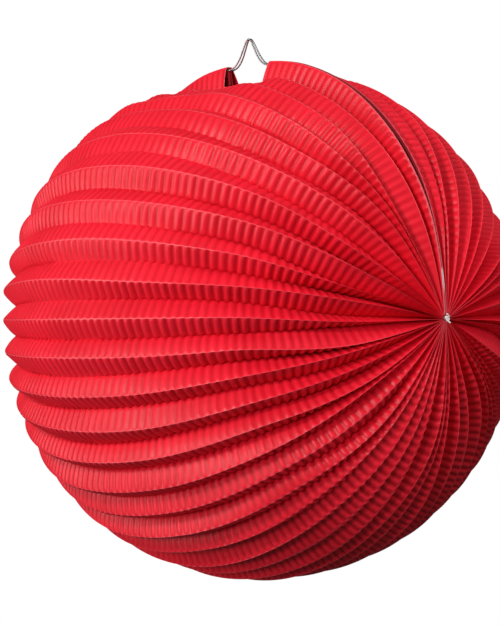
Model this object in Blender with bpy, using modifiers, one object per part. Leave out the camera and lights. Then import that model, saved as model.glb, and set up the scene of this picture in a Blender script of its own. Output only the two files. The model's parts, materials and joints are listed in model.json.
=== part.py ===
"""Accordion paper lantern: a ball of pleated paper that fans open about an axis from pole to pole.

The poles lie on the X axis and +Z is up. The origin is the point under the two wire hangers that a hook
carries, so the ball hangs below it. Every paper piece is made about the pole axis and is parented to an
empty on it. An angle round the pole axis starts at the top seam and runs down the back (+Y), under the
ball, and up the front (-Y).
"""

import math

import bmesh
import bpy
import numpy as np
from mathutils import Vector

# Driving dimensions, in metres.
BALL_RADIUS = 0.125
PLEATS = 45
LEAF_WIDTH = 0.0104
PAPER = 0.0003
CARD = 0.0004
WIRE_RADIUS = 0.0004
HANGER_RISE = 0.0139

# The ball's shape.
POLE_FLATTENING = 0.055
FLATTENING_POWER = 8
CROWN_SAG = 0.0055
CROWN_SAG_ANGLE = math.radians(36)
TIP_RADIUS = 0.004
TIP_LATITUDE = math.acos(TIP_RADIUS / BALL_RADIUS)
LAST_EVEN_LATITUDE = math.radians(79)
EVEN_STATIONS = 15

# The pleats: gravity opens those at the top and closes those at the bottom.
PITCH_SWING = 0.17
LEAST_DEPTH = 0.0025
FOLD_GAP = 0.0003
MOST_WALL_SHARE = 0.45

# The seam, where the two end leaves stand side by side.
END_ANGLE = math.radians(2.8)
SEAM_STACK = 0.001
SEAM_CLEARANCE = 0.00015
SEAM_GAP_TOP = 0.0003
SEAM_GAP_SIDE = 0.0008
SEAM_GAP_POLE = 0.00012
WIRE_POCKET = 0.0008
LEAF_TO_CARD = 0.00015
CARD_WIDTH = 0.0092
NOTCH_HALF_TOP = 0.015
NOTCH_HALF_BOTTOM = 0.0134
NOTCH_BOTTOM = 0.1172
NOTCH_TOP = 0.13
NOTCH_HALF_DEPTH = 0.009

# The wire hangers. Heights are above the pole axis.
FOOT_HEIGHT = 0.1223
FOOT_OFFSET = 0.0012
PEAK_OFFSET = 0.0006
FOOT_END = 0.022
FOOT_BEND = 0.0136
WIRE_POINTS = 40
AXIS_HEIGHT = -(FOOT_HEIGHT + HANGER_RISE - WIRE_RADIUS)

# The pole ties.
TIE_CORE_RADIUS = 0.0016
TIE_KNOT_RADIUS = 0.0024
TIE_KNOT_LENGTH = 0.0019
TIE_CLEARANCE = 0.0003

# The candle holder, on the inner folds of the bottom pleat.
CUP_RADIUS = 0.007
CUP_HEIGHT = 0.012
CUP_RIM = 0.0006
DIMPLE_RADIUS = 0.0028
DIMPLE_DEPTH = 0.0008
TIN = 0.0004
SADDLE_LENGTH = 0.0174
SADDLE_WIDTH = 0.010
SADDLE_LIP = 0.0018
RIVET_RADIUS = 0.001
RIVET_HEAD_RADIUS = 0.0022
RIVET_HEAD = 0.0005
RIVET_HOLE_RADIUS = 0.0013
PART_GAP = 0.0001
ROUND_STEPS = 32

TAU = 2 * math.pi


def clear_scene():
    for obj in list(bpy.data.objects):
        bpy.data.objects.remove(obj, do_unlink=True)


def new_collection(name):
    collection = bpy.data.collections.new(name)
    bpy.context.scene.collection.children.link(collection)
    return collection


def new_material(name, color, roughness, metallic=0.0):
    material = bpy.data.materials.new(name)
    material.use_nodes = True
    shader = material.node_tree.nodes["Principled BSDF"]
    shader.inputs["Base Color"].default_value = (*color, 1.0)
    shader.inputs["Roughness"].default_value = roughness
    shader.inputs["Metallic"].default_value = metallic
    return material


clear_scene()
lantern = new_collection("accordion_lantern")
cutters = new_collection("cutters")
red_paper = new_material("red_paper", (0.72, 0.01, 0.02), 0.55)
red_card = new_material("red_card", (0.62, 0.02, 0.03), 0.6)
steel_wire = new_material("steel_wire", (0.72, 0.72, 0.74), 0.25, 1.0)
tin_plate = new_material("tin_plate", (0.70, 0.69, 0.66), 0.35, 1.0)
tie_thread = new_material("tie_thread", (0.85, 0.80, 0.78), 0.8)

fan_axis = bpy.data.objects.new("fan_axis", None)
fan_axis.location = (0, 0, AXIS_HEIGHT)
fan_axis.empty_display_size = 0.02
lantern.objects.link(fan_axis)


def add_object(name, data, material, parent=fan_axis):
    """An object of the lantern, placed in its parent's frame."""
    obj = bpy.data.objects.new(name, data)
    obj.parent = parent
    data.materials.append(material)
    lantern.objects.link(obj)
    return obj


# Geometry of the pleated ball.


def smooth_step(value, start, end):
    share = min(max((value - start) / (end - start), 0.0), 1.0)
    return share * share * (3 - 2 * share)


def fan_share(u):
    """Share of the fan's angle at pleat position u, which runs from 0 at the rear end leaf to 1 at the front one."""
    return u + PITCH_SWING / TAU * math.sin(TAU * u)


def half_pitch(u):
    """Half the angle that one pleat takes at u."""
    return (math.pi - END_ANGLE) / PLEATS * (1 + PITCH_SWING * math.cos(TAU * u))


def seam_half_width(rho):
    """Distance from the seam's plane at which the pleats begin, at the distance rho from the pole axis."""
    return math.hypot(rho * math.sin(END_ANGLE), SEAM_STACK)


def pleat_angle(u, rho):
    start = math.asin(seam_half_width(rho) / rho)
    return start + (TAU - 2 * start) * fan_share(u)


def fold_radius(u):
    """The ball's radius at u: the folds beside the seam sag a little from the hangers."""
    angle = END_ANGLE + (TAU - 2 * END_ANGLE) * fan_share(u)
    from_top = min(angle, TAU - angle)
    return BALL_RADIUS - CROWN_SAG * math.exp(-((from_top / CROWN_SAG_ANGLE) ** 2))


def meridian(latitude, radius, inward):
    """Place along the poles and distance from them of a point that lies this far inside the ball's outline."""
    s = math.sin(latitude)
    flat = POLE_FLATTENING * s**FLATTENING_POWER
    across = BALL_RADIUS * s * (1 - flat)
    rho = radius * math.cos(latitude)
    slope = BALL_RADIUS * math.cos(latitude) * (1 - (FLATTENING_POWER + 1) * flat)
    length = math.hypot(radius * s, slope)
    return across - inward * radius * s / length, rho - inward * slope / length


def fold_depth(u, latitude):
    """How far the inner fold lies inside the outer one, for a leaf of fixed width."""
    spread = fold_radius(u) * math.cos(latitude) * half_pitch(u)
    return math.sqrt(max(LEAF_WIDTH**2 - spread**2, LEAST_DEPTH**2))


def fan_point(u, latitude, inward, side_gap=0.0):
    """A point of the bellows; side_gap is an angle that keeps it off the next pleat."""
    across, rho = meridian(latitude, fold_radius(u), inward)
    angle = pleat_angle(u, rho) + side_gap
    return across, rho * math.sin(angle), rho * math.cos(angle)


def station_latitudes():
    even = np.linspace(-LAST_EVEN_LATITUDE, LAST_EVEN_LATITUDE, EVEN_STATIONS)
    return [-TIP_LATITUDE, *(float(a) for a in even), TIP_LATITUDE]


def loft(name, sections, material, flip=False):
    """A closed sheet through sections, capped at both ends. A section runs along one side and back on the other."""
    count = len(sections[0])
    points = [point for section in sections for point in section]
    faces = [list(range(count))]
    faces.append([len(points) - count + i for i in reversed(range(count))])
    for station in range(len(sections) - 1):
        here = station * count
        there = here + count
        for i in range(count):
            j = (i + 1) % count
            # Both sides of a sheet are split along the same diagonal, or they would pass through each other.
            if i < count // 2:
                faces.append([here + j, here + i, there + j])
                faces.append([here + i, there + i, there + j])
            else:
                faces.append([here + j, here + i, there + i])
                faces.append([here + j, there + i, there + j])
    if flip:
        points = [(x, -y, z) for x, y, z in points]
    mesh = bpy.data.meshes.new(name)
    mesh.from_pydata(points, [], faces)
    form = bmesh.new()
    form.from_mesh(mesh)
    bmesh.ops.recalc_face_normals(form, faces=form.faces)
    form.to_mesh(mesh)
    form.free()
    return add_object(name, mesh, material)


# Pleats.


def pleat_section(number, latitude):
    """Chevron across one pleat: inner fold, outer fold and inner fold, with the paper's thickness inwards."""
    start = (number - 1) / PLEATS
    middle = (number - 0.5) / PLEATS
    end = number / PLEATS
    gap = FOLD_GAP / 2 / BALL_RADIUS
    depth = fold_depth(middle, latitude)
    spread = fold_radius(middle) * math.cos(latitude) * half_pitch(middle)
    wall = min(PAPER * LEAF_WIDTH / spread, MOST_WALL_SHARE * depth)
    first = fold_depth(start, latitude)
    last = fold_depth(end, latitude)
    return [
        fan_point(start, latitude, first - wall, gap),
        fan_point(middle, latitude, 0.0),
        fan_point(end, latitude, last - wall, -gap),
        fan_point(end, latitude, last, -gap),
        fan_point(middle, latitude, wall),
        fan_point(start, latitude, first, gap),
    ]


def make_pleats():
    for number in range(1, PLEATS + 1):
        sections = [pleat_section(number, a) for a in station_latitudes()]
        loft(f"pleat_{number:02d}", sections, red_paper)


# End leaves and their cards.


def seam_gap(across):
    """Distance from the seam's plane to the card, which is widest half way to the poles."""
    x = abs(across)
    widening = (SEAM_GAP_SIDE - SEAM_GAP_TOP) * smooth_step(x, 0.025, 0.055)
    closing = (SEAM_GAP_SIDE - SEAM_GAP_POLE) * smooth_step(x, 0.09, 0.117)
    return SEAM_GAP_TOP + widening - closing


def pocket(across):
    """Room between card and leaf at their outer edge: wide over the hanger's feet only."""
    return WIRE_POCKET - (WIRE_POCKET - LEAF_TO_CARD) * smooth_step(abs(across), 0.026, 0.05)


def beside_seam(across, rho, offset):
    """A point at this distance from the pole axis and from the seam's plane."""
    return across, offset, math.sqrt(rho**2 - offset**2)


def end_leaf_section(latitude):
    edge_x, edge_rho = meridian(latitude, BALL_RADIUS, 0.0)
    fold_x, fold_rho = meridian(latitude, fold_radius(0.0), fold_depth(0.0, latitude))
    edge = seam_gap(edge_x) + CARD + pocket(edge_x)
    fold = seam_half_width(fold_rho) - SEAM_CLEARANCE - PAPER
    return [
        beside_seam(edge_x, edge_rho, edge),
        beside_seam(edge_x, edge_rho, edge + PAPER),
        beside_seam(fold_x, fold_rho, fold + PAPER),
        beside_seam(fold_x, fold_rho, fold),
    ]


def end_card_section(latitude):
    edge_x, edge_rho = meridian(latitude, BALL_RADIUS, 0.0)
    back_x, back_rho = meridian(latitude, BALL_RADIUS, CARD_WIDTH)
    near = seam_gap(edge_x)
    return [
        beside_seam(edge_x, edge_rho, near),
        beside_seam(edge_x, edge_rho, near + CARD),
        beside_seam(back_x, back_rho, near + CARD),
        beside_seam(back_x, back_rho, near),
    ]


def make_notch_cutter():
    """A wedge-sided block over the middle of the seam."""
    mesh = bpy.data.meshes.new("notch_cutter")
    form = bmesh.new()
    bmesh.ops.create_cube(form, size=2.0)
    for vertex in form.verts:
        top = vertex.co.z > 0
        rise = (NOTCH_TOP - NOTCH_BOTTOM) / (BALL_RADIUS - NOTCH_BOTTOM)
        half = NOTCH_HALF_BOTTOM
        if top:
            half += (NOTCH_HALF_TOP - NOTCH_HALF_BOTTOM) * rise
        vertex.co.x *= half
        vertex.co.y *= NOTCH_HALF_DEPTH
        vertex.co.z = NOTCH_TOP if top else NOTCH_BOTTOM
    form.to_mesh(mesh)
    form.free()
    cutter = bpy.data.objects.new("notch_cutter", mesh)
    cutter.parent = fan_axis
    hide_cutter(cutter)
    return cutter


def hide_cutter(obj):
    cutters.objects.link(obj)
    obj.hide_render = True
    obj.display_type = "WIRE"


def cut(obj, cutter):
    modifier = obj.modifiers.new("cut", "BOOLEAN")
    modifier.operation = "DIFFERENCE"
    modifier.solver = "EXACT"
    modifier.object = cutter


def make_ends():
    notch = make_notch_cutter()
    for end, flip in (("rear", False), ("front", True)):
        leaf = loft(f"{end}_end_leaf", [end_leaf_section(a) for a in station_latitudes()], red_paper, flip)
        card = loft(f"{end}_end_card", [end_card_section(a) for a in station_latitudes()], red_card, flip)
        cut(leaf, notch)
        cut(card, notch)


# Wire hangers.


def smooth_route(points, count):
    """Points evenly spread in parameter along a Catmull-Rom curve through the given ones."""
    knots = [2 * points[0] - points[1], *points, 2 * points[-1] - points[-2]]
    route = []
    for value in np.linspace(0, len(points) - 1, count):
        i = min(int(value), len(points) - 2)
        t = float(value) - i
        a, b, c, d = knots[i : i + 4]
        bend = (2 * a - 5 * b + 4 * c - d) * t**2 + (3 * (b - c) + d - a) * t**3
        route.append(0.5 * (2 * b + (c - a) * t + bend))
    return route


def hanger_half():
    """From a foot's end to the peak, as seen from the front, with the foot at height 0."""
    rise = HANGER_RISE
    return [
        Vector((FOOT_END, 0, 0)),
        Vector(((FOOT_END + FOOT_BEND) / 2, 0, 0)),
        Vector((FOOT_BEND, 0, 0)),
        Vector((0.0112, 0, 0.13 * rise)),
        Vector((0.0086, 0, 0.30 * rise)),
        Vector((0.0062, 0, 0.49 * rise)),
        Vector((0.0042, 0, 0.69 * rise)),
        Vector((0.0024, 0, 0.88 * rise)),
        Vector((0.0, 0, rise)),
    ]


def make_hanger(name, side):
    half = hanger_half()
    points = half + [Vector((-p.x, p.y, p.z)) for p in reversed(half[:-1])]
    route = smooth_route(points, WIRE_POINTS + 1)
    curve = bpy.data.curves.new(name, "CURVE")
    curve.dimensions = "3D"
    curve.bevel_depth = WIRE_RADIUS
    curve.bevel_resolution = 2
    curve.use_fill_caps = True
    spline = curve.splines.new("POLY")
    spline.points.add(len(route) - 1)
    for point, place in zip(spline.points, route):
        point.co = (*place, 1.0)
    hanger = add_object(name, curve, steel_wire)
    hanger.location = (0, side * FOOT_OFFSET, FOOT_HEIGHT)
    hanger.rotation_euler.x = side * math.asin((FOOT_OFFSET - PEAK_OFFSET) / HANGER_RISE)


# Turned pieces.


def turned(name, profile, material, axis="Z"):
    """A closed profile of (distance from the axis, height), run down its outer side, turned about the axis."""
    mesh = bpy.data.meshes.new(name)
    edges = [(i, i + 1) for i in range(len(profile) - 1)]
    mesh.from_pydata([(r, 0, z) for r, z in profile], edges, [])
    obj = add_object(name, mesh, material)
    screw = obj.modifiers.new("turn", "SCREW")
    screw.axis = "Z"
    screw.steps = ROUND_STEPS
    screw.render_steps = ROUND_STEPS
    screw.use_merge_vertices = True
    screw.merge_threshold = 0.00001
    screw.use_smooth_shade = True
    if axis == "X":
        obj.rotation_euler.y = math.pi / 2
    return obj


def make_pole_tie(name, side):
    """A spool of thread: a knot outside the leaf tips, a core through them, and a knot inside."""
    outer = meridian(TIP_LATITUDE, BALL_RADIUS, 0.0)[0] + TIE_CLEARANCE
    inner = meridian(TIP_LATITUDE, BALL_RADIUS, LEAF_WIDTH)[0] - TIE_CLEARANCE
    rounded = TIE_KNOT_RADIUS * 0.7
    profile = [
        (0.0, outer + TIE_KNOT_LENGTH),
        (rounded, outer + TIE_KNOT_LENGTH * 0.85),
        (TIE_KNOT_RADIUS, outer + TIE_KNOT_LENGTH * 0.4),
        (rounded, outer),
        (TIE_CORE_RADIUS, outer),
        (TIE_CORE_RADIUS, inner),
        (rounded, inner),
        (TIE_KNOT_RADIUS, inner - TIE_KNOT_LENGTH * 0.4),
        (rounded, inner - TIE_KNOT_LENGTH * 0.85),
        (0.0, inner - TIE_KNOT_LENGTH),
    ]
    tie = turned(name, profile, tie_thread, "X")
    if side < 0:
        tie.rotation_euler.y = -math.pi / 2


# Candle holder.


def saddle_top():
    """Height of the saddle's upper face: its edges rest on the inner folds of the bottom pleat."""
    bottom = (PLEATS + 1) / 2 / PLEATS
    station = 2 * LAST_EVEN_LATITUDE / (EVEN_STATIONS - 1)
    low = fan_point(bottom, 0.0, fold_depth(bottom, 0.0))
    next_x, _, next_z = fan_point(bottom, station, fold_depth(bottom, station))
    at_edge = low[2] + (next_z - low[2]) * SADDLE_WIDTH / 2 / next_x
    return at_edge + FOLD_GAP + TIN


def rivet_hole_cutter(height):
    mesh = bpy.data.meshes.new("rivet_hole_cutter")
    form = bmesh.new()
    bmesh.ops.create_cone(
        form,
        cap_ends=True,
        segments=ROUND_STEPS,
        radius1=RIVET_HOLE_RADIUS,
        radius2=RIVET_HOLE_RADIUS,
        depth=4 * TIN,
    )
    form.to_mesh(mesh)
    form.free()
    cutter = bpy.data.objects.new("rivet_hole_cutter", mesh)
    cutter.parent = fan_axis
    cutter.location.z = height
    hide_cutter(cutter)
    return cutter


def make_saddle(top):
    """A tin strip across the two folds, with a short lip bent down outside each."""
    half = SADDLE_LENGTH / 2
    side = SADDLE_WIDTH / 2
    outline = [(-half, -SADDLE_LIP), (-half, 0.0), (half, 0.0), (half, -SADDLE_LIP)]
    points = [(x, y, z) for x in (-side, side) for y, z in outline]
    faces = [(i, i + 1, i + 5, i + 4) for i in range(3)]
    mesh = bpy.data.meshes.new("candle_saddle")
    mesh.from_pydata(points, [], faces)
    saddle = add_object("candle_saddle", mesh, tin_plate)
    saddle.location.z = top
    solid = saddle.modifiers.new("plate", "SOLIDIFY")
    solid.thickness = TIN
    solid.offset = 1.0
    solid.use_even_offset = True
    cut(saddle, rivet_hole_cutter(top - TIN / 2))


def make_cup(floor):
    """A drawn cup with a rolled rim, and a dimple in its floor for the rivet; floor is its underside."""
    top = floor + CUP_HEIGHT
    raised = floor + DIMPLE_DEPTH
    profile = [
        (RIVET_HOLE_RADIUS, floor + TIN),
        (DIMPLE_RADIUS, floor + TIN),
        (DIMPLE_RADIUS + 0.0003, raised + TIN),
        (CUP_RADIUS - TIN - 0.0006, raised + TIN),
        (CUP_RADIUS - TIN, raised + TIN + 0.0006),
        (CUP_RADIUS - TIN, top - CUP_RIM),
        (CUP_RADIUS, top),
        (CUP_RADIUS + CUP_RIM, top - CUP_RIM / 2),
        (CUP_RADIUS, top - 2 * CUP_RIM),
        (CUP_RADIUS, raised + 0.001),
        (CUP_RADIUS - 0.001, raised),
        (DIMPLE_RADIUS + 0.0003 + TIN, raised),
        (DIMPLE_RADIUS + TIN, floor),
        (RIVET_HOLE_RADIUS, floor),
        (RIVET_HOLE_RADIUS, floor + TIN),
    ]
    turned("candle_cup", profile, tin_plate)


def make_rivet(low, high):
    """low is the saddle's underside and high the cup's floor inside, with a head beyond each."""
    upper = high + PART_GAP
    lower = low - PART_GAP
    profile = [
        (0.0, upper + RIVET_HEAD),
        (RIVET_HEAD_RADIUS * 0.75, upper + RIVET_HEAD * 0.8),
        (RIVET_HEAD_RADIUS, upper),
        (RIVET_RADIUS, upper),
        (RIVET_RADIUS, lower),
        (RIVET_HEAD_RADIUS, lower),
        (RIVET_HEAD_RADIUS * 0.75, lower - RIVET_HEAD * 0.8),
        (0.0, lower - RIVET_HEAD),
    ]
    turned("candle_rivet", profile, tin_plate)


def make_candle_holder():
    top = saddle_top()
    make_saddle(top)
    floor = top + PART_GAP
    make_cup(floor)
    make_rivet(top - TIN, floor + TIN)


make_pleats()
make_ends()
make_hanger("rear_hanger", 1)
make_hanger("front_hanger", -1)
make_pole_tie("right_pole_tie", 1)
make_pole_tie("left_pole_tie", -1)
make_candle_holder()
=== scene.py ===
"""Looks of the accordion paper lantern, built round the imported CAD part.

The pole axis runs along X at the height of the fan_fold joint. The crimped paper is built as fine meshes on
the same folds as the CAD pleats: folds are numbered from 0 beside the rear end leaf to FOLDS beside the front
one, with the even ones lying inside (between two pleats) and the odd ones outside (each the ridge of a pleat).
"""

import json
import math

import bmesh
import bpy
import numpy as np
from mathutils import Matrix, Vector

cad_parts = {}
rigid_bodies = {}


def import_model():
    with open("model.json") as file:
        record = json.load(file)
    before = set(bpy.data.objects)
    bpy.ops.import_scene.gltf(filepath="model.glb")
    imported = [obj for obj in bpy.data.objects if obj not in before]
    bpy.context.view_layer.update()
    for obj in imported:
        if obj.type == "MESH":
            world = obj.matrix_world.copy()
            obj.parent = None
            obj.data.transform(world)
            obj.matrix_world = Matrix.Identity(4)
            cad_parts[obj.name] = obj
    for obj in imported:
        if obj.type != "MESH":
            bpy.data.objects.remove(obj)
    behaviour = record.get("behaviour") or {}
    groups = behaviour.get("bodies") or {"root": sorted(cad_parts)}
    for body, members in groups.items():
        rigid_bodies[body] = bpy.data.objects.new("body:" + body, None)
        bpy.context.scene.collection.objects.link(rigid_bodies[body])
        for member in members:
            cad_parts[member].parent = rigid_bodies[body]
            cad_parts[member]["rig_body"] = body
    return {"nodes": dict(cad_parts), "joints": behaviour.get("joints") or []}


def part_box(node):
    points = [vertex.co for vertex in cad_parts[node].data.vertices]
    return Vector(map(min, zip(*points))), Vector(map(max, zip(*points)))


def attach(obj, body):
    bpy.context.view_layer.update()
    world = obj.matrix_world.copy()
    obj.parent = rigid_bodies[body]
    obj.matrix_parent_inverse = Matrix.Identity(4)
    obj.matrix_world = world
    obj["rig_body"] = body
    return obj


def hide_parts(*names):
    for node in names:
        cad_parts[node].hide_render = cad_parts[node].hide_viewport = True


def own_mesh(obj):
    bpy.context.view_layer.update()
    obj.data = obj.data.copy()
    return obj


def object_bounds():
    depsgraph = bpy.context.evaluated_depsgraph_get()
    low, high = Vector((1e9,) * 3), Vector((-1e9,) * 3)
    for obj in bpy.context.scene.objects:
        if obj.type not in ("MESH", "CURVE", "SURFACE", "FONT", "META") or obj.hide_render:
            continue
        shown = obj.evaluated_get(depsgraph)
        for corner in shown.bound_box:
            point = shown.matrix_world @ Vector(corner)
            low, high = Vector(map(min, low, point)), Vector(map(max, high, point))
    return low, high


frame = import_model()
cad_low, cad_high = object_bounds()

# The ball, as in the CAD part. Metres and radians; latitudes are counted from the middle of the pole axis.
TAU = 2 * math.pi
JOINTS = {joint["name"]: joint for joint in frame["joints"]}
AXIS_Z = JOINTS["fan_fold"]["pos_m"][2]
PLEATS = sum(name.startswith("pleat_") for name in frame["nodes"])
FOLDS = 2 * PLEATS
BALL_RADIUS = AXIS_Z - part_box(f"pleat_{(PLEATS + 1) // 2:02d}")[0].z
LEAF_WIDTH = 0.0104
POLE_FLATTENING = 0.055
FLATTENING_POWER = 8
TIP_RADIUS = 0.0017
TIP_LATITUDE = math.acos(TIP_RADIUS / BALL_RADIUS)
PITCH_SWING = 0.17
LEAST_DEPTH = 0.0025
END_ANGLE = math.radians(2.8)
SEAM_STACK = 0.001
ANCHOR = (0, 0, AXIS_Z)

# The seam, its cards and its notch. Pairs are where a change starts and ends.
SEAM_GAP_TOP = 0.0004
SEAM_GAP_SIDE = 0.0015
SEAM_GAP_POLE = 0.00012
SEAM_WIDENING = (0.03, 0.095)
SEAM_CLOSING = (0.1, 0.1165)
WIRE_POCKET = 0.0008
POCKET_END = (0.026, 0.05)
LEAF_TO_CARD = 0.00015
CARD = 0.0004
CARD_WIDTH = 0.0092
CARD_LINES = 4
CARD_STATION_STEP = 4
WHITE_EDGE_START = (0.011, 0.015)
WHITE_EDGE_END = (0.021, 0.023)
NOTCH_HALF_TOP = 0.015
NOTCH_HALF_BOTTOM = 0.0134
NOTCH_BOTTOM = 0.1142
NOTCH_TOP = 0.13
NOTCH_HALF_DEPTH = 0.009
END_LEAF_PROUD = 0.0011
PROUD_START = (0.06, 0.3)
PROUD_END = (0.5, 1.0)

# The wire hangers and the thread at the poles.
FOOT_HEIGHT = JOINTS["rear_hanger_swing"]["pos_m"][2] - AXIS_Z
FOOT_OFFSET = JOINTS["rear_hanger_swing"]["pos_m"][1]
PEAK_OFFSET = 0.0006
WIRE_RADIUS = 0.0004
HANGER_RISE = -JOINTS["rear_hanger_swing"]["pos_m"][2] + WIRE_RADIUS
# Half a hanger, from a foot's end to the peak: how far across, and the share of the rise.
HALF_HANGER = (
    (0.022, 0.0),
    (0.018, 0.0),
    (0.0141, 0.01),
    (0.0112, 0.055),
    (0.0086, 0.17),
    (0.0062, 0.37),
    (0.0042, 0.61),
    (0.0022, 0.87),
    (0.001, 0.975),
    (0.0, 1.0),
)
HANGER_POINTS = 161
THREAD_RADIUS = 0.00036
KNOT_SCALE = 0.00036
KNOT_INSET = 0.00105
KNOT_POINTS = 72
TWISTS = 2.5
TWIST_POINTS = 41
LOOSE_ENDS = (1.2, 4.0)
LOOSE_END_POINTS = 9
LOOSE_END_START = 0.0006
LOOSE_END_REACH = 0.0016
LOOSE_END_LIFT = (0.0003, 0.0006)

# How the folds hang: they sag under the notch and a little along the rest of the crown.
NOTCH_SAG = 0.0128
NOTCH_SAG_ANGLE = math.radians(22.5)
NOTCH_SAG_REACH = 0.0255
REAR_CROWN_SAG = 0.0012
FRONT_CROWN_SAG = 0.005
CROWN_SAG_ANGLE = math.radians(36)
END_FOLD_DEPTH = 0.0094
END_FOLD_DROP = 0.0016
OUTWARD_STEP = 0.001
POLE_NARROWING = 0.5
NARROWING = (math.radians(62), math.radians(86))

# How the folds stray round the ball, and in and out of it.
WANDER_START = 0.7
WANDER_RATE = 1.9
WANDER_CALM = math.radians(84)
WANDER_FADE = math.radians(30)
FOLD_WANDER = 0.0028
FOLD_SCATTER = 0.0036
SCATTER_CALM = math.radians(80)
SCATTER_FADE = 0.5
RISE_WANDER = 0.0002
RISE_SCATTER = 0.0003
LEAST_FOLD_ANGLE = 0.011

# How they gather at the poles, in runs of leaves. Wide leaves are given by their fold, as multiples of the
# run's mean.
GATHERING = (math.radians(38), math.radians(74))
GATHER_SPREAD = 0.95
GATHER_RUN = 10
WIDEST_RIGHT = 3.5
WIDEST_LEFT = 1.9
WIDE_LEAVES = {11: 2.6, 76: 2.4}

# Where the first folds behind the seam lie open, and where the pleats low on the front are pulled flatter.
REAR_OPENING = (math.radians(4.2), math.radians(4.6), math.radians(2.2), math.radians(1.0))
OPENED_FOLD_DEPTH = 0.003
OPENED_START = (math.radians(14), math.radians(32))
OPENED_END = (math.radians(66), math.radians(84))
STRETCHED_START = (math.radians(15), math.radians(45))
STRETCHED_END = (math.radians(70), math.radians(86))
STRETCHED_FOLD = 53
STRETCHED_RUN = 9
STRETCH = 0.006
STRETCHED_FLATTER = 0.55

# The crimped paper. Places on a leaf are shares of its width, from the ridge to the inner fold.
SHEET = 0.00022
RIB_PITCH = 0.00415
RIB_HEIGHT = 0.00036
RIB_FLATNESS = 1.1
RIB_SIZES = (0.78, 1.12)
RIB_DRAWS = 400
# Slow wavers of the pitch: size in ribs, rate per metre, and turn per fold.
RIB_WAVERS = ((0.05, 61, 1), (0.04, 143, 2))
# Where the ribs fade out, in degrees of latitude: the start round the crown, how much later it is below, and
# the end.
RIB_FADE_CROWN = 52
RIB_FADE_DELAY = 16
RIB_FADE_END = 87
BELOW_CROWN = (math.radians(72), math.radians(100))
RIB_LOSS_ABOVE = 0.22
RIB_LOSS_SLOPE = (-0.1, 0.6)
RIB_GAIN_BELOW = 0.35
RIB_GAIN_SLOPE = (0.0, 0.6)
RIBS_START = (0.0, 0.13)
TURN_TO_FOLD = (0.75, 1.0)
FOLD_LEAN = 1.5
LEAST_LEAN = 0.55
STEPS_PER_RIB = 8
RIDGE_WIDTH = 0.085
RIDGE_ROUNDING = 0.00022
LEAF_BOW = 0.00035
BOW_SPREAD = 0.5
BOW_TURN = 7.3
SHARP_ANGLE = math.radians(50)
RNG = np.random.default_rng(45)


# Places on the bellows.


def smooth_step(value, start, end):
    """0 up to the start and 1 from the end on, with an even curve between."""
    share = np.clip((value - start) / (end - start), 0.0, 1.0)
    return share * share * (3 - 2 * share)


def fan_share(u):
    """Share of the way round at which fold u (0 to 1) lies: the pleats are wider apart on top than below."""
    return u + PITCH_SWING / TAU * math.sin(TAU * u)


def seam_half_width(rho):
    """Half the room that the two ends take up at this distance from the axis."""
    return np.hypot(rho * math.sin(END_ANGLE), SEAM_STACK)


def pleat_angle(u, rho):
    """Angle round the axis of fold u, from the rear end's side of the seam."""
    start = np.arcsin(seam_half_width(rho) / rho)
    return start + (TAU - 2 * start) * fan_share(u)


def fold_radius(u, latitude):
    """Radius of the round outline that a fold follows at these latitudes: the ball's, less the crown's sag."""
    angle = END_ANGLE + (TAU - 2 * END_ANGLE) * fan_share(u)
    from_top = min(angle, TAU - angle)
    crown_sag = FRONT_CROWN_SAG if u > 0.5 else REAR_CROWN_SAG
    crown = crown_sag * math.exp(-((from_top / CROWN_SAG_ANGLE) ** 2))
    share = math.exp(-((from_top / NOTCH_SAG_ANGLE) ** 2)) * under_notch(latitude)
    return BALL_RADIUS - crown - (NOTCH_SAG - crown) * share


def under_notch(latitude):
    """1 below the notch, falling to 0 on both sides of it."""
    return np.exp(-((BALL_RADIUS * np.sin(latitude) / NOTCH_SAG_REACH) ** 4))


def meridian(latitude, radius, inward):
    """Place along the poles and distance from them of points that lie this far inside the ball's outline."""
    s = np.sin(latitude)
    flat = POLE_FLATTENING * s**FLATTENING_POWER
    across = BALL_RADIUS * s * (1 - flat)
    rho = radius * np.cos(latitude)
    slope = BALL_RADIUS * np.cos(latitude) * (1 - (FLATTENING_POWER + 1) * flat)
    length = np.hypot(radius * s, slope)
    return across - inward * radius * s / length, rho - inward * slope / length


def placed(across, rho, angle):
    """Points at these angles round the pole axis, counted from the top towards the back."""
    return np.stack([across, rho * np.sin(angle), AXIS_Z + rho * np.cos(angle)], -1)


def arc_stations():
    """Latitudes evenly spread along the outline from pole to pole, and their distance from the middle."""
    fine = np.linspace(-TIP_LATITUDE, TIP_LATITUDE, 4001)
    across, rho = meridian(fine, BALL_RADIUS, 0.0)
    steps = np.hypot(np.diff(across), np.diff(rho))
    arc = np.concatenate([[0.0], np.cumsum(steps)])
    arc -= arc[-1] / 2
    count = int(round((arc[-1] - arc[0]) / RIB_PITCH * STEPS_PER_RIB))
    even = np.linspace(arc[0], arc[-1], count + 1)
    return np.interp(even, arc, fine), even


LATITUDES, ARC = arc_stations()
AWAY = np.abs(LATITUDES)


def wander(count, amount, waves=4):
    """A seeded smooth waver along the stations for each of count folds."""
    rows = np.zeros((count, len(ARC)))
    for wave in range(waves):
        size = RNG.normal(0, amount / math.sqrt(wave + 1), (count, 1))
        phase = RNG.uniform(0, TAU, (count, 1))
        rows += size * np.sin((WANDER_START + wave) * WANDER_RATE * LATITUDES + phase)
    return rows * smooth_step(WANDER_CALM - AWAY, 0.0, WANDER_FADE)


def opened():
    """Where the leaves beside the seam lie nearly flat: 1 on the right half of the ball, short of its pole."""
    return smooth_step(LATITUDES, *OPENED_START) * (1 - smooth_step(LATITUDES, *OPENED_END))


def rear_opening(fold):
    """Angle by which one of the first folds lies further from the seam."""
    return REAR_OPENING[fold] * opened() if fold < len(REAR_OPENING) else 0.0


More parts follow.
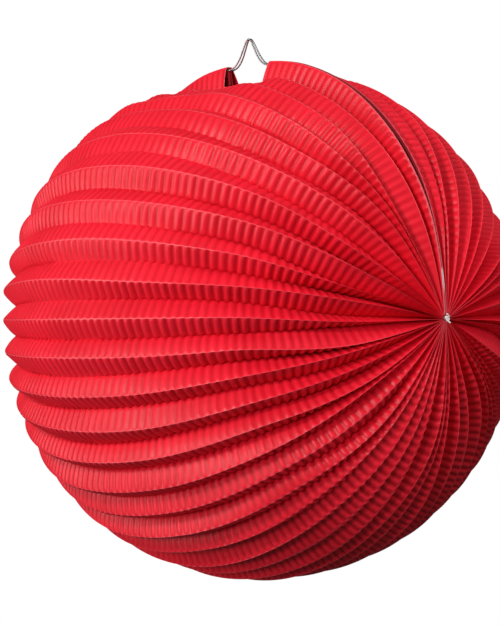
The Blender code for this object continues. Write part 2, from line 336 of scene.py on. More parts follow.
def stretched(fold):
    """Where the pleats are pulled open and flatter: 1 low on the front, towards the right pole."""
    along = smooth_step(LATITUDES, *STRETCHED_START)
    short_of_pole = 1 - smooth_step(LATITUDES, *STRETCHED_END)
    return along * short_of_pole * math.exp(-(((fold - STRETCHED_FOLD) / STRETCHED_RUN) ** 2))


def uneven_gather(widest, wide_leaves):
    """Angles by which each fold strays at one pole: in each run some leaves lie open and others stay shut."""
    strays = np.zeros(FOLDS + 1)
    for start in range(0, FOLDS, GATHER_RUN):
        widths = np.minimum(np.exp(RNG.normal(0, GATHER_SPREAD, GATHER_RUN)), widest)
        for leaf, width in wide_leaves.items():
            if start <= leaf < start + GATHER_RUN:
                widths[leaf - start] = width * widths.mean()
        even = np.diff([fan_share(fold / FOLDS) for fold in range(start, start + GATHER_RUN + 1)])
        widths *= even
        widths *= even.sum() / widths.sum()
        strays[start + 1 : start + GATHER_RUN + 1] = (TAU - 2 * END_ANGLE) * np.cumsum(widths - even)
    return strays[:, None]


def fold_shifts():
    """How far each fold strays round the ball from its even place, along the stations."""
    right = uneven_gather(WIDEST_RIGHT, WIDE_LEAVES)
    left = uneven_gather(WIDEST_LEFT, {})
    shifts = wander(FOLDS + 1, FOLD_WANDER)
    scatter = RNG.normal(0, FOLD_SCATTER, (FOLDS + 1, 1))
    shifts += scatter * smooth_step(SCATTER_CALM - AWAY, 0.0, SCATTER_FADE)
    shifts += smooth_step(AWAY, *GATHERING) * np.where(LATITUDES > 0, right, left)
    shifts[0] = shifts[-1] = 0.0
    for fold in range(len(REAR_OPENING)):
        shifts[fold] += rear_opening(fold)
    for fold in range(1, FOLDS):
        shifts[fold] += STRETCH * (fold - STRETCHED_FOLD) * stretched(fold)
    return shifts


def fold_angles():
    """Angle of every fold round the axis along the stations, kept in order."""
    rho = meridian(LATITUDES, BALL_RADIUS, 0.0)[1]
    rows = [pleat_angle(fold / FOLDS, rho) for fold in range(FOLDS + 1)]
    steps = LEAST_FOLD_ANGLE * np.arange(FOLDS + 1)[:, None]
    ordered = np.maximum.accumulate(np.stack(rows) + fold_shifts() - steps, axis=0) + steps
    return np.minimum(ordered, rows[-1] - steps[::-1])


ANGLES = fold_angles()
FOLD_RISE = wander(FOLDS + 1, RISE_WANDER)
FOLD_RISE = FOLD_RISE + RNG.normal(0, RISE_SCATTER, (FOLDS + 1, 1)) * np.cos(LATITUDES)
FOLD_RISE[0] = FOLD_RISE[-1] = 0.0
RIB_NUMBER = np.floor(ARC / RIB_PITCH + 0.5).astype(int)
RIB_SIZE = RNG.uniform(*RIB_SIZES, RIB_DRAWS)[RIB_NUMBER + RIB_DRAWS // 2]


def rib_profile(number):
    """Heights of the crimp along a leaf, from -1 to 1, with slightly flat crests and grooves."""
    phase = ARC / RIB_PITCH
    for size, rate, turn in RIB_WAVERS:
        phase = phase + size * np.sin(ARC * rate + turn * number)
    return np.tanh(RIB_FLATNESS * np.cos(TAU * phase)) / math.tanh(RIB_FLATNESS) * RIB_SIZE


def rib_share(fold):
    """How strong the crimp is along the outline: it fades out beside the poles, and sooner round the crown."""
    from_top = TAU * min(fold, FOLDS - fold) / FOLDS
    fade_start = RIB_FADE_CROWN + RIB_FADE_DELAY * float(smooth_step(from_top, *BELOW_CROWN))
    return 1 - smooth_step(AWAY, math.radians(fade_start), math.radians(RIB_FADE_END))


def rib_strength(facing_up):
    """The ribs stay crisp underneath and are pulled flatter where the paper faces up."""
    loss = RIB_LOSS_ABOVE * smooth_step(facing_up, *RIB_LOSS_SLOPE)
    gain = RIB_GAIN_BELOW * smooth_step(-facing_up, *RIB_GAIN_SLOPE)
    return 1 - loss + gain


def fold_depth(fold):
    """How far inside the outline a fold lies: a leaf's width reaches it from the ridges on both sides."""
    if fold % 2:
        return 0.0
    narrowing = 1 - POLE_NARROWING * smooth_step(AWAY, *NARROWING)
    if fold in (0, FOLDS):
        depth = END_FOLD_DEPTH + END_FOLD_DROP * under_notch(LATITUDES)
        if fold == 0:
            depth += (OPENED_FOLD_DEPTH - depth) * opened()
        return depth * narrowing
    radius = fold_radius(fold / FOLDS, LATITUDES)
    spread = radius * np.cos(LATITUDES) * (ANGLES[fold + 1] - ANGLES[fold - 1]) / 2
    flatter = 1 - STRETCHED_FLATTER * stretched(fold)
    return np.sqrt(np.maximum(LEAF_WIDTH**2 - spread**2, LEAST_DEPTH**2)) * narrowing * flatter


def fold_line(fold):
    """Points along one fold, with the directions out of the ball and round it there."""
    depth = fold_depth(fold) - FOLD_RISE[fold]
    radius = BALL_RADIUS if fold in (0, FOLDS) else fold_radius(fold / FOLDS, LATITUDES)
    across, rho = meridian(LATITUDES, radius, depth)
    out_across, out_rho = meridian(LATITUDES, radius, depth - OUTWARD_STEP)
    angle = ANGLES[fold]
    if fold in (0, FOLDS):
        angle = pleat_angle(fold / FOLDS, rho) + rear_opening(fold)
    points = placed(across, rho, angle)
    outward = placed(out_across, out_rho, angle) - points
    around = np.stack([np.zeros_like(angle), np.cos(angle), -np.sin(angle)], -1)
    return points, unit(outward), around


def unit(vectors):
    """The vectors at length 1."""
    return vectors / np.maximum(np.linalg.norm(vectors, axis=-1, keepdims=True), 1e-12)


# From the ridge to the inner fold: how far along the leaf each line of points lies.
LEAF_LINES = (0.0, 0.035, RIDGE_WIDTH, 0.16, 0.3, 0.47, 0.64, 0.82, 1.0)
BACK_LINES = (0.0, 0.16, 0.47, 0.82, 1.0)


def leaf_grid(ridge, fold, facing, lines, thickness):
    """Points of one leaf on the given lines from its ridge to its inner fold, crimped and slightly bowed, and
    the crimp's height. The ribs were pressed through the folded stack, so they stand out of one leaf and into
    the next, and the inner fold wavers sideways. facing is 1 where the leaf faces on round the ball, and -1
    where it faces back.
    """
    inner, inner_out, around = fold_line(fold)
    along = np.gradient(ridge, axis=0)
    normal = unit(np.cross(along, inner - ridge))
    normal *= np.sign((normal * inner_out).sum(1, keepdims=True))
    lean_out = np.clip((normal * inner_out).sum(1, keepdims=True), LEAST_LEAN, 1.0)
    crimp = facing * rib_profile(fold) * rib_share(fold)
    leaf_strength = rib_strength(normal[:, 2])
    fold_strength = rib_strength(inner_out[:, 2])
    bow = LEAF_BOW * rib_share(fold) * (1 + BOW_SPREAD * math.sin(BOW_TURN * fold))
    grid, heights = [], []
    for t in lines:
        turn = float(smooth_step(t, *TURN_TO_FOLD))
        strength = (1 - turn) * leaf_strength + turn * fold_strength
        ribbed = float(smooth_step(t, *RIBS_START)) * strength
        crimped = (1 - turn) * normal + turn * facing * around / FOLD_LEAN
        outwards = (1 - turn) * normal + turn * inner_out / lean_out
        rounded = RIDGE_ROUNDING * (1 - t / RIDGE_WIDTH) ** 2 if t < RIDGE_WIDTH else 0.0
        base = ridge + (inner - ridge) * t - rounded * normal
        lift = (bow * math.sin(math.pi * t) - thickness)[:, None]
        grid.append(base + crimped * (RIB_HEIGHT * ribbed * crimp)[:, None] + outwards * lift)
        heights.append(ribbed * crimp)
    return np.stack(grid, 1), np.stack(heights, 1)


def mesh_of(name, points, quads, rim_faces, values):
    """A mesh of quads, with values by point and a second material on the rim's faces."""
    mesh = bpy.data.meshes.new(name)
    mesh.vertices.add(len(points))
    mesh.vertices.foreach_set("co", np.asarray(points, np.float32).ravel())
    mesh.loops.add(len(quads) * 4)
    mesh.loops.foreach_set("vertex_index", np.asarray(quads, np.int32).ravel())
    mesh.polygons.add(len(quads))
    mesh.polygons.foreach_set("loop_start", np.arange(len(quads), dtype=np.int32) * 4)
    mesh.polygons.foreach_set("material_index", np.asarray(rim_faces, np.int32))
    mesh.polygons.foreach_set("use_smooth", np.ones(len(quads), bool))
    mesh.update(calc_edges=True)
    mesh.validate()
    for key, column in values.items():
        layer = mesh.attributes.new(key, "FLOAT", "POINT")
        layer.data.foreach_set("value", np.asarray(column, np.float32).ravel())
    mesh.set_sharp_from_angle(angle=SHARP_ANGLE)
    return mesh


def sheet_solid(name, front, back, front_values, back_values):
    """A thin solid, open at its two ends, from a front grid and a coarser back grid with the same stations and
    edge lines, and the rings of points that close the ends.
    """
    rows, columns = front.shape[:2]
    back_columns = back.shape[1]
    points = np.concatenate([front.reshape(-1, 3), back.reshape(-1, 3)])
    first = np.arange(rows * columns).reshape(rows, columns)
    second = rows * columns + np.arange(rows * back_columns).reshape(rows, back_columns)

    def cells(index):
        corners = [index[:-1, :-1], index[1:, :-1], index[1:, 1:], index[:-1, 1:]]
        return np.stack(corners, -1).reshape(-1, 4)

    def strip(a, b):
        return np.stack([a[:-1], a[1:], b[1:], b[:-1]], -1)

    faces = [cells(first), cells(second)[:, ::-1]]
    rims = [strip(second[:, 0], first[:, 0]), strip(first[:, -1], second[:, -1])]
    quads = np.concatenate(faces + rims)
    rim_faces = np.repeat([0.0, 1.0], [sum(map(len, faces)), sum(map(len, rims))])
    # The two ends: each back cell closes against the front cells that it spans.
    caps = []
    picks = np.linspace(0, columns - 1, back_columns).round().astype(int)
    for row, flip in ((0, False), (rows - 1, True)):
        for i in range(back_columns - 1):
            ring = [second[row, i], second[row, i + 1], *first[row, picks[i] : picks[i + 1] + 1][::-1]]
            caps.append(ring[::-1] if flip else ring)
    values = {
        key: np.concatenate([front_values[key].ravel(), back_values[key].ravel()]) for key in front_values
    }
    mesh = mesh_of(name, points, quads, rim_faces, values)
    return mesh, caps


def closed_sheet(name, front, back, front_values, back_values):
    """The thin solid with its two ends closed."""
    mesh, caps = sheet_solid(name, front, back, front_values, back_values)
    form = bmesh.new()
    form.from_mesh(mesh)
    form.verts.ensure_lookup_table()
    for ring in caps:
        form.faces.new([form.verts[int(i)] for i in ring]).material_index = 1
    bmesh.ops.recalc_face_normals(form, faces=form.faces)
    form.to_mesh(mesh)
    form.free()
    mesh.set_sharp_from_angle(angle=SHARP_ANGLE)
    return mesh


def add_piece(name, mesh, body, slot, *materials):
    """A visual piece that rides on a body. The slot argument is not used."""
    obj = bpy.data.objects.new(name, mesh)
    bpy.context.scene.collection.objects.link(obj)
    for material in materials:
        obj.data.materials.append(material)
    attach(obj, body)
    return obj


# Materials.


class Nodes:
    """Short calls for building one material's node tree."""

    def __init__(self, name):
        self.material = bpy.data.materials.new(name)
        self.material.use_nodes = True
        self.tree = self.material.node_tree
        self.shader = self.tree.nodes["Principled BSDF"]

    def add(self, kind, **settings):
        node = self.tree.nodes.new(kind)
        for key, value in settings.items():
            setattr(node, key, value)
        return node

    def link(self, source, target):
        self.tree.links.new(source, target)

    def set(self, **values):
        for key, value in values.items():
            self.shader.inputs[key.replace("_", " ")].default_value = value

    def attribute(self, name):
        return self.add("ShaderNodeAttribute", attribute_name=name).outputs["Fac"]

    def object_place(self):
        return self.add("ShaderNodeTexCoord").outputs["Object"]

    def noise(self, scale, detail=2.0, roughness=0.5, vector=None):
        node = self.add("ShaderNodeTexNoise")
        node.inputs["Scale"].default_value = scale
        node.inputs["Detail"].default_value = detail
        node.inputs["Roughness"].default_value = roughness
        self.link(vector if vector is not None else self.object_place(), node.inputs["Vector"])
        return node.outputs["Fac"]

    def span(self, value, low, high, to_low=0.0, to_high=1.0):
        node = self.add("ShaderNodeMapRange")
        for key, number in (("From Min", low), ("From Max", high), ("To Min", to_low), ("To Max", to_high)):
            node.inputs[key].default_value = number
        self.link(value, node.inputs["Value"])
        return node.outputs["Result"]

    def maths(self, operation, first, second):
        node = self.add("ShaderNodeMath", operation=operation)
        for socket, value in zip(node.inputs, (first, second)):
            if isinstance(value, (int, float)):
                socket.default_value = value
            else:
                self.link(value, socket)
        return node.outputs["Value"]

    def mix(self, share, first, second):
        node = self.add("ShaderNodeMix", data_type="RGBA")
        for key, value in (("Factor", share), ("A", first), ("B", second)):
            socket = next(s for s in node.inputs if s.name == key and (key == "Factor" or s.type == "RGBA"))
            if isinstance(value, (int, float)):
                socket.default_value = value
            elif isinstance(value, tuple):
                socket.default_value = (*value, 1.0)
            else:
                self.link(value, socket)
        return next(s for s in node.outputs if s.type == "RGBA")

    def bump(self, height, strength, distance, normal=None):
        node = self.add("ShaderNodeBump")
        node.inputs["Strength"].default_value = strength
        node.inputs["Distance"].default_value = distance
        self.link(height, node.inputs["Height"])
        if normal is not None:
            self.link(normal, node.inputs["Normal"])
        return node.outputs["Normal"]


def red_paper():
    """Crimped red tissue card: satin dye with a painted highlight on the crests, painted shade in the grooves,
    a pale ridge line that is partly rubbed dye and partly a painted highlight, and fine fibres.
    """
    n = Nodes("crimped_red_paper")
    mottle = n.noise(38, 3)
    fibre = n.noise(1500, 4, 0.65)
    base = n.mix(n.span(mottle, 0.35, 0.65), (0.71, 0.007, 0.021), (0.81, 0.01, 0.028))
    # Painted highlight: the crests of the crimp are painted paler pink.
    painted_crest_highlight = n.span(n.attribute("crimp"), 0.2, 1.0, 0.0, 0.12)
    base = n.mix(painted_crest_highlight, base, (0.9, 0.05, 0.09))
    # Painted shade: the grooves of the crimp are painted darker.
    painted_groove_shade = n.span(n.attribute("crimp"), -0.1, -1.0, 0.0, 0.6)
    base = n.mix(painted_groove_shade, base, (0.44, 0.002, 0.01))
    # The pale line along each ridge is partly rubbed dye at the fold and partly a painted highlight.
    ridge = n.span(n.attribute("leaf_place"), 0.04, 0.0, 0.0, 0.6)
    ridge_wear_and_highlight = n.maths("MULTIPLY", ridge, n.span(fibre, 0.3, 0.7, 0.5, 1.0))
    base = n.mix(ridge_wear_and_highlight, base, (0.95, 0.2, 0.24))
    base = n.mix(n.span(fibre, 0.62, 0.8, 0.0, 0.08), base, (0.95, 0.1, 0.12))
    n.link(base, n.shader.inputs["Base Color"])
    n.link(n.span(n.noise(240, 3), 0.3, 0.7, 0.4, 0.5), n.shader.inputs["Roughness"])
    fine = n.bump(fibre, 0.25, 0.00006)
    n.link(n.bump(n.noise(430, 2), 0.3, 0.00012, fine), n.shader.inputs["Normal"])
    n.set(Specular_IOR_Level=0.42)
    return n.material


def paper_core():
    """The cut edge of the dyed paper: pinkish red with torn fibres."""
    n = Nodes("paper_cut_edge")
    fibre = n.noise(1700, 3, 0.6)
    base = n.mix(n.span(fibre, 0.35, 0.65), (0.8, 0.1, 0.13), (0.9, 0.3, 0.33))
    n.link(base, n.shader.inputs["Base Color"])
    n.link(n.bump(fibre, 0.4, 0.00005), n.shader.inputs["Normal"])
    n.set(Roughness=0.8)
    return n.material


def red_card():
    """The stiff end card: matt red painted much darker than the paper, painted shade for the seam gap and
    notch, with faint board grain.
    """
    n = Nodes("card_face_painted_shade")
    grain = n.noise(900, 4, 0.7)
    cloudy = n.noise(60, 2)
    # Painted shade: the card face is a much darker red than the paper.
    base = n.mix(n.span(cloudy, 0.35, 0.65), (0.26, 0.005, 0.01), (0.34, 0.008, 0.014))
    base = n.mix(n.span(grain, 0.6, 0.8, 0.0, 0.15), base, (0.5, 0.04, 0.05))
    n.link(base, n.shader.inputs["Base Color"])
    n.link(n.span(grain, 0.3, 0.7, 0.65, 0.8), n.shader.inputs["Roughness"])
    n.link(n.bump(grain, 0.3, 0.00008), n.shader.inputs["Normal"])
    return n.material


def card_core():
    """The card's cut edge: red with paler fibres, and white between about 11 and 23 mm from the pole axis."""
    n = Nodes("card_cut_edge")
    fibre = n.noise(1300, 4, 0.7)
    dyed = n.mix(n.span(fibre, 0.35, 0.7), (0.66, 0.03, 0.05), (0.8, 0.18, 0.21))
    white = n.mix(n.span(fibre, 0.35, 0.7), (0.85, 0.6, 0.6), (0.96, 0.9, 0.88))
    n.link(n.mix(n.attribute("white_edge_share"), dyed, white), n.shader.inputs["Base Color"])
    n.link(n.bump(fibre, 0.5, 0.00006), n.shader.inputs["Normal"])
    n.set(Roughness=0.85)
    return n.material


def drawn_wire():
    """Bright drawn steel wire with fine lengthwise scratches and a few dull spots."""
    n = Nodes("drawn_steel_wire")
    spots = n.noise(700, 3, 0.6)
    base = n.mix(n.span(spots, 0.55, 0.75, 0.0, 0.7), (0.52, 0.5, 0.51), (0.3, 0.27, 0.28))
    n.link(base, n.shader.inputs["Base Color"])
    n.link(n.span(n.noise(2600, 2), 0.3, 0.7, 0.4, 0.52), n.shader.inputs["Roughness"])
    n.link(n.bump(n.noise(3200, 2), 0.2, 0.00003), n.shader.inputs["Normal"])
    n.set(Metallic=1.0)
    return n.material


def tin_plate():
    """Dull bright tinned steel: soft spangle, smudges and small scratches."""
    n = Nodes("dull_tin_plate")
    spangle = n.noise(320, 1)
    smudge = n.noise(90, 4, 0.7)
    base = n.mix(n.span(spangle, 0.4, 0.6), (0.58, 0.57, 0.54), (0.7, 0.69, 0.66))
    base = n.mix(n.span(smudge, 0.55, 0.75, 0.0, 0.5), base, (0.4, 0.37, 0.33))
    n.link(base, n.shader.inputs["Base Color"])
    n.link(n.span(smudge, 0.3, 0.7, 0.28, 0.48), n.shader.inputs["Roughness"])
    n.link(n.bump(n.noise(1800, 3), 0.15, 0.00005), n.shader.inputs["Normal"])
    n.set(Metallic=1.0)
    return n.material


def tie_thread():
    """Off-white twisted cotton."""
    n = Nodes("cotton_thread")
    fibre = n.noise(2400, 3, 0.7)
    base = n.mix(n.span(fibre, 0.3, 0.7), (0.7, 0.6, 0.57), (0.92, 0.87, 0.84))
    n.link(base, n.shader.inputs["Base Color"])
    n.link(n.bump(fibre, 0.6, 0.0001), n.shader.inputs["Normal"])
    n.set(Roughness=0.85, Sheen_Weight=0.3, Sheen_Roughness=0.5)
    return n.material


PAPER = red_paper()
PAPER_EDGE = paper_core()
SHADED_CARD_FACE = red_card()
CARD_EDGE = card_core()
WIRE = drawn_wire()
TINNED = tin_plate()
THREAD = tie_thread()


# Pleats.


def place_values(lines, heights):
    """The values that the paper's material reads at each point of a leaf."""
    spots = np.broadcast_to(np.asarray(lines), heights.shape)
    return {"leaf_place": spots, "crimp": heights}


def joined(first, second):
    """Two leaves that share their ridge, as one grid from inner fold to inner fold."""
    ridge = (first[:, :1] + second[:, :1]) / 2
    return np.concatenate([first[:, :0:-1], ridge, second[:, 1:]], 1)


def pleat_sheet(number):
    """The two leaves of one pleat, as one thin solid."""
    ridge = fold_line(2 * number - 1)[0]
    grids = []
    for lines, thickness in ((LEAF_LINES, 0.0), (BACK_LINES, SHEET)):
        leaves = []
        for fold, facing in ((2 * number - 2, -1), (2 * number, 1)):
            grid, heights = leaf_grid(ridge, fold, facing, lines, thickness)
            leaves.append((grid, place_values(lines, heights)))
        (first, first_values), (second, second_values) = leaves
        values = {key: joined(first_values[key], second_values[key]) for key in first_values}
        grids.append((joined(first, second), values))
    (front, front_values), (back, back_values) = grids
    return closed_sheet(f"crimped_pleat_{number:02d}", front, back, front_values, back_values)


def make_pleats():
    for number in range(1, PLEATS + 1):
        node = f"pleat_{number:02d}"
        body = frame["nodes"][node]["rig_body"]
        piece = add_piece(f"crimped_{node}", pleat_sheet(number), body, "red_paper", PAPER, PAPER_EDGE)
        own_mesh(piece)
        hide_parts(node)


# The two ends beside the seam.


def seam_gap(across):
    """Half the gap between the two ends: it opens on the right half only, and closes at both poles."""
    x = np.abs(across)
    opening = np.where(across > 0, SEAM_GAP_SIDE, SEAM_GAP_TOP)
    widening = (opening - SEAM_GAP_TOP) * smooth_step(x, *SEAM_WIDENING)
    closing = (opening - SEAM_GAP_POLE) * smooth_step(x, *SEAM_CLOSING)
    return SEAM_GAP_TOP + widening - closing


def pocket(across):
    """Room between card and leaf: wide over the hanger's feet only."""
    return WIRE_POCKET - (WIRE_POCKET - LEAF_TO_CARD) * smooth_step(np.abs(across), *POCKET_END)


def beside_seam(across, rho, offset, side):
    """Points this far from the pole axis and this far to one side of the seam's plane."""
    return np.stack([across, side * offset, AXIS_Z + np.sqrt(rho**2 - offset**2)], -1)


def end_outline(latitude, inward):
    """The outline beside the seam, which stands a little proud of the ball on both sides of the notch."""
    away = np.abs(latitude)
    rise = smooth_step(away, *PROUD_START) * (1 - smooth_step(away, *PROUD_END))
    return meridian(latitude, BALL_RADIUS, inward - END_LEAF_PROUD * rise)


def notch_cutter():
    """A wedge-sided block over the middle of the seam."""
    rise = (NOTCH_TOP - NOTCH_BOTTOM) / (BALL_RADIUS - NOTCH_BOTTOM)
    top = NOTCH_HALF_BOTTOM + (NOTCH_HALF_TOP - NOTCH_HALF_BOTTOM) * rise
    corners = []
    for half, height in ((NOTCH_HALF_BOTTOM, NOTCH_BOTTOM), (top, NOTCH_TOP)):
        for x, y in ((-1, -1), (1, -1), (1, 1), (-1, 1)):
            corners.append((x * half, y * NOTCH_HALF_DEPTH, AXIS_Z + height))
    faces = [(3, 2, 1, 0), (4, 5, 6, 7), (0, 1, 5, 4), (1, 2, 6, 5), (2, 3, 7, 6), (3, 0, 4, 7)]
    mesh = bpy.data.meshes.new("notch_cutter")
    mesh.from_pydata(corners, [], faces)
    mesh.materials.append(PAPER_EDGE)
    cutter = bpy.data.objects.new("notch_cutter", mesh)
    bpy.context.scene.collection.objects.link(cutter)
    return cutter


def cut_notch(name, mesh, cutter, *materials):
    """The mesh with the notch cut out of it."""
    obj = bpy.data.objects.new(name, mesh)
    bpy.context.scene.collection.objects.link(obj)
    for material in materials:
        mesh.materials.append(material)
    modifier = obj.modifiers.new("notch", "BOOLEAN")
    modifier.operation = "DIFFERENCE"
    modifier.solver = "EXACT"
    modifier.object = cutter
    graph = bpy.context.evaluated_depsgraph_get()
    made = bpy.data.meshes.new_from_object(
        obj.evaluated_get(graph), preserve_all_data_layers=True, depsgraph=graph
    )
    made.name = name
    made.set_sharp_from_angle(angle=SHARP_ANGLE)
    bpy.data.objects.remove(obj)
    return made


def end_leaf_sheet(side):
    """The half pleat beside the seam, from its cut edge to the first inner fold."""
    edge_x, edge_rho = end_outline(LATITUDES, 0.0)
    edge = beside_seam(edge_x, edge_rho, seam_gap(edge_x) + CARD + pocket(edge_x) + SHEET, side)
    fold = 0 if side > 0 else FOLDS
    grids = []
    for lines, thickness in ((LEAF_LINES, 0.0), (BACK_LINES, SHEET)):
        grid, heights = leaf_grid(edge, fold, side, lines, thickness)
        grids.append((grid, place_values(lines, heights)))
    (front, front_values), (back, back_values) = grids
    return closed_sheet("end_leaf", front, back, front_values, back_values)


def end_card_sheet(side):
    """The card strip beside the seam, inside the end leaf."""
    latitudes = LATITUDES[::CARD_STATION_STEP]
    edge_x, edge_rho = end_outline(latitudes, 0.0)
    back_x, back_rho = end_outline(latitudes, CARD_WIDTH)
    near = seam_gap(edge_x)
    shares = np.linspace(0, 1, CARD_LINES)
    sheets = []
    for offset in (near + CARD, near):
        lines = []
        for share in shares:
            across = edge_x + (back_x - edge_x) * share
            rho = edge_rho + (back_rho - edge_rho) * share
            lines.append(beside_seam(across, rho, offset, side))
        sheets.append(np.stack(lines, 1))
    # The card's cut edge is white only between these distances from the pole axis.
    white_band = smooth_step(edge_rho, *WHITE_EDGE_START) * (1 - smooth_step(edge_rho, *WHITE_EDGE_END))
    values = {"white_edge_share": np.repeat(white_band[:, None], len(shares), 1)}
    return closed_sheet("end_card", sheets[0], sheets[1], values, values)


def make_ends():
    cutter = notch_cutter()
    for end, side in (("rear", 1), ("front", -1)):
        body = f"{end}_end"
        leaf = cut_notch(f"{end}_leaf", end_leaf_sheet(side), cutter, PAPER, PAPER_EDGE)
        piece = add_piece(f"crimped_{end}_end_leaf", leaf, body, "red_paper")
        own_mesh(piece)
        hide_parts(f"{end}_end_leaf")
        card = cut_notch(f"{end}_card", end_card_sheet(side), cutter, SHADED_CARD_FACE, CARD_EDGE)
        piece = add_piece(f"{end}_card_strip", card, body, "red_card")
        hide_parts(f"{end}_end_card")
    bpy.data.objects.remove(cutter)


# Wire hangers.


def tube(name, strands, radius, body, slot, material, resolution=5):
    """Round wire or thread through each strand's points."""
    curve = bpy.data.curves.new(name, "CURVE")
    curve.dimensions = "3D"
    curve.bevel_depth = radius
    curve.bevel_resolution = resolution
    curve.use_fill_caps = True
    for strand in strands:
        spline = curve.splines.new("POLY")
        spline.points.add(len(strand) - 1)
        for point, place in zip(spline.points, strand):
            point.co = (*place, 1.0)
        spline.use_smooth = True
    obj = bpy.data.objects.new(name, curve)
    bpy.context.scene.collection.objects.link(obj)
    curve.materials.append(material)
    graph = bpy.context.evaluated_depsgraph_get()
    mesh = bpy.data.meshes.new_from_object(obj.evaluated_get(graph), depsgraph=graph)
    bpy.data.objects.remove(obj)
    mesh.set_sharp_from_angle(angle=SHARP_ANGLE)
    return add_piece(name, mesh, body, slot)


def smooth_route(points, count):
    """Points evenly spread in parameter along a Catmull-Rom curve through the given ones."""
    knots = [2 * points[0] - points[1], *points, 2 * points[-1] - points[-2]]
    route = []
    for value in np.linspace(0, len(points) - 1, count):
        i = min(int(value), len(points) - 2)
        t = float(value) - i
        a, b, c, d = knots[i : i + 4]
        bend = (2 * a - 5 * b + 4 * c - d) * t**2 + (3 * (b - c) + d - a) * t**3
        route.append(0.5 * (2 * b + (c - a) * t + bend))
    return route


def make_hangers():
    half = [Vector((across, 0, share * HANGER_RISE)) for across, share in HALF_HANGER]
    other_half = [Vector((-p.x, p.y, p.z)) for p in reversed(half[:-1])]
    route = smooth_route(half + other_half, HANGER_POINTS)
    for end, side in (("rear", 1), ("front", -1)):
        lean = side * math.asin((FOOT_OFFSET - PEAK_OFFSET) / HANGER_RISE)
        foot = Matrix.Translation((0, side * FOOT_OFFSET, AXIS_Z + FOOT_HEIGHT))
        turn = foot @ Matrix.Rotation(lean, 4, "X")
        places = [turn @ p for p in route]
        wire = tube(f"{end}_wire_hanger", [places], WIRE_RADIUS, f"{end}_hanger", "steel_wire", WIRE)
        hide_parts(f"{end}_hanger")


# Ties at the poles.


def knot(centre_x, side):
    """A trefoil of thread round the pole axis."""
    strand = []
    for i in range(KNOT_POINTS + 1):
        t = TAU * i / KNOT_POINTS
        y = KNOT_SCALE * (math.sin(t) + 2 * math.sin(2 * t))
        z = KNOT_SCALE * (math.cos(t) - 2 * math.cos(2 * t))
        strand.append((centre_x - side * KNOT_SCALE * math.sin(3 * t), y, AXIS_Z + z))
    return strand


def twisted_pair(from_x, to_x):
    """The two strands that lie through the gathered tips, turned round each other."""
    strands = []
    for half_turn in (0, math.pi):
        strand = []
        for share in np.linspace(0, 1, TWIST_POINTS):
            turn = half_turn + TAU * TWISTS * share
            x = from_x + (to_x - from_x) * share
            strand.append((x, THREAD_RADIUS * math.cos(turn), AXIS_Z + THREAD_RADIUS * math.sin(turn)))
        strands.append(strand)
    return strands


def loose_end(centre_x, side, turn):
    """A short cut end that sticks out of the knot."""
    strand = []
    for share in np.linspace(0, 1, LOOSE_END_POINTS):
        reach = LOOSE_END_START + LOOSE_END_REACH * share
        lift = side * (LOOSE_END_LIFT[0] + LOOSE_END_LIFT[1] * share * share)
        y, z = reach * math.cos(turn + share), reach * math.sin(turn + share)
        strand.append((centre_x + lift, y, AXIS_Z + z))
    return strand


def make_ties():
    for name, side in (("right_pole_tie", 1), ("left_pole_tie", -1)):
        low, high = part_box(name)
        ends = (high.x, low.x) if side > 0 else (low.x, high.x)
        outer, inner = ends[0] - side * KNOT_INSET, ends[1] + side * KNOT_INSET
        strands = [knot(outer, side), knot(inner, -side), *twisted_pair(outer, inner)]
        strands += [loose_end(outer, side, turn) for turn in LOOSE_ENDS]
        body = frame["nodes"][name]["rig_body"]
        tie = tube(f"{name}_thread", strands, THREAD_RADIUS, body, "tie_thread", THREAD, 4)
        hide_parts(name)


# Carried-over CAD nodes.


def finish_nodes():
    for name in ("candle_cup", "candle_saddle", "candle_rivet"):
        obj = frame["nodes"][name]
        obj.data.materials.clear()
        obj.data.materials.append(TINNED)


# The studio.

VIEW_AZIMUTH = math.radians(46.4)
VIEW_ELEVATION = math.radians(1.3)
VIEW_ROLL = math.radians(2.4)
VIEW_DISTANCE = 1.0
LENS = 118.7
SENSOR_WIDTH = 36
FRAME_LEFT = 0.0054
FRAME_UP = 0.0039
FLOOR_RADIUS = 3.2
FLOOR_CORNERS = 96
FLOOR_DROP = 0.65
# Each light's place to the right, up and towards the camera from the ball, its size, its power in watts, and
# whether it shows in reflections.
LIGHTS = (
    ("key", -0.6, 0.6, 1.1, 0.24, 7.8, True),
    ("side", -1.4, 0.15, 0.4, 0.9, 9, True),
    ("top", 0.5, 1.4, 0.4, 0.7, 7, False),
    ("front", -0.6, 0.2, 1.4, 0.3, 6.5, False),
    ("fill", 1.3, 0.45, 0.75, 0.8, 7, False),
    ("back", 0.3, 0.9, -1.5, 1.2, 9, False),
)


def view_axes():
    """Directions to the right, up and towards the camera, before its roll."""
    a, e = VIEW_AZIMUTH, VIEW_ELEVATION
    back = Vector((math.sin(a) * math.cos(e), -math.cos(a) * math.cos(e), math.sin(e)))
    right = Vector((0, 0, 1)).cross(back).normalized()
    return right, back.cross(right), back


def make_camera():
    right, up, back = view_axes()
    rolled_up = up * math.cos(VIEW_ROLL) + right * math.sin(VIEW_ROLL)
    rolled_right = rolled_up.cross(back)
    target = Vector(ANCHOR) - rolled_right * FRAME_LEFT + rolled_up * FRAME_UP
    data = bpy.data.cameras.new("camera")
    data.lens = LENS
    data.sensor_width = SENSOR_WIDTH
    camera = bpy.data.objects.new("camera", data)
    turn = Matrix((rolled_right, rolled_up, back)).transposed().to_4x4()
    camera.matrix_world = Matrix.Translation(target + back * VIEW_DISTANCE) @ turn
    bpy.context.scene.collection.objects.link(camera)
    bpy.context.scene.camera = camera


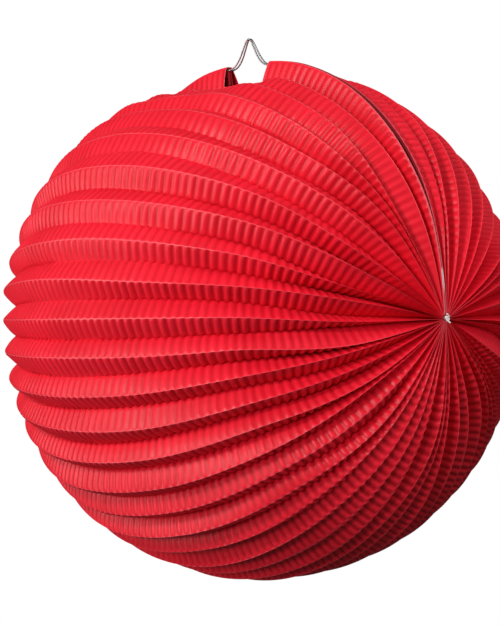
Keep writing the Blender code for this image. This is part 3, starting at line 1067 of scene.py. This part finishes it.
def make_light(name, right, up, back, size, power, reflected):
    """A soft square light at this place seen from the camera's side, aimed at the ball."""
    axes = view_axes()
    place = Vector(ANCHOR) + axes[0] * right + axes[1] * up + axes[2] * back
    data = bpy.data.lights.new(name, "AREA")
    data.size = size
    data.energy = power
    light = bpy.data.objects.new(name, data)
    light.location = place
    light.visible_glossy = reflected
    light.rotation_euler = (Vector(ANCHOR) - place).to_track_quat("-Z", "Y").to_euler()
    bpy.context.scene.collection.objects.link(light)


def make_world():
    """Even pale surroundings: white to the camera, dim as a light, dimmer from below and in reflections."""
    world = bpy.data.worlds.new("studio")
    bpy.context.scene.world = world
    world.use_nodes = True
    tree = world.node_tree
    background = tree.nodes["Background"]
    seen = tree.nodes.new("ShaderNodeBackground")
    seen.inputs["Color"].default_value = (1, 1, 1, 1)
    seen.inputs["Strength"].default_value = 1.0
    heights = tree.nodes.new("ShaderNodeSeparateXYZ")
    tree.links.new(tree.nodes.new("ShaderNodeTexCoord").outputs["Generated"], heights.inputs["Vector"])
    strength = tree.nodes.new("ShaderNodeMapRange")
    for key, number in (("From Min", -0.6), ("From Max", 0.5), ("To Min", 0.09), ("To Max", 0.22)):
        strength.inputs[key].default_value = number
    tree.links.new(heights.outputs["Z"], strength.inputs["Value"])
    background.inputs["Color"].default_value = (1, 1, 1, 1)
    tree.links.new(strength.outputs["Result"], background.inputs["Strength"])
    reflected = tree.nodes.new("ShaderNodeBackground")
    reflected.inputs["Color"].default_value = (1, 1, 1, 1)
    reflected.inputs["Strength"].default_value = 0.07
    path = tree.nodes.new("ShaderNodeLightPath")
    light = tree.nodes.new("ShaderNodeMixShader")
    tree.links.new(path.outputs["Is Glossy Ray"], light.inputs["Fac"])
    tree.links.new(background.outputs["Background"], light.inputs[1])
    tree.links.new(reflected.outputs["Background"], light.inputs[2])
    mixed = tree.nodes.new("ShaderNodeMixShader")
    tree.links.new(path.outputs["Is Camera Ray"], mixed.inputs["Fac"])
    tree.links.new(light.outputs["Shader"], mixed.inputs[1])
    tree.links.new(seen.outputs["Background"], mixed.inputs[2])
    tree.links.new(mixed.outputs["Shader"], tree.nodes["World Output"].inputs["Surface"])


def make_floor():
    mesh = bpy.data.meshes.new("floor")
    turns = [TAU * i / FLOOR_CORNERS for i in range(FLOOR_CORNERS)]
    corners = [(FLOOR_RADIUS * math.cos(turn), FLOOR_RADIUS * math.sin(turn), 0) for turn in turns]
    mesh.from_pydata(corners, [], [tuple(range(FLOOR_CORNERS))])
    n = Nodes("pale_floor")
    n.link(n.mix(n.noise(3, 2), (0.9, 0.9, 0.9), (0.94, 0.94, 0.94)), n.shader.inputs["Base Color"])
    n.set(Roughness=0.9, Emission_Color=(1, 1, 1, 1), Emission_Strength=0.45)
    mesh.materials.append(n.material)
    floor = bpy.data.objects.new("floor", mesh)
    floor.location.z = cad_low.z - FLOOR_DROP
    floor.visible_diffuse = False
    floor.visible_glossy = False
    bpy.context.scene.collection.objects.link(floor)


def make_studio():
    make_camera()
    make_world()
    make_floor()
    for light in LIGHTS:
        make_light(*light)
    bpy.context.scene.view_settings.view_transform = "Standard"


make_studio()
make_pleats()
make_ends()
make_hangers()
make_ties()
finish_nodes()
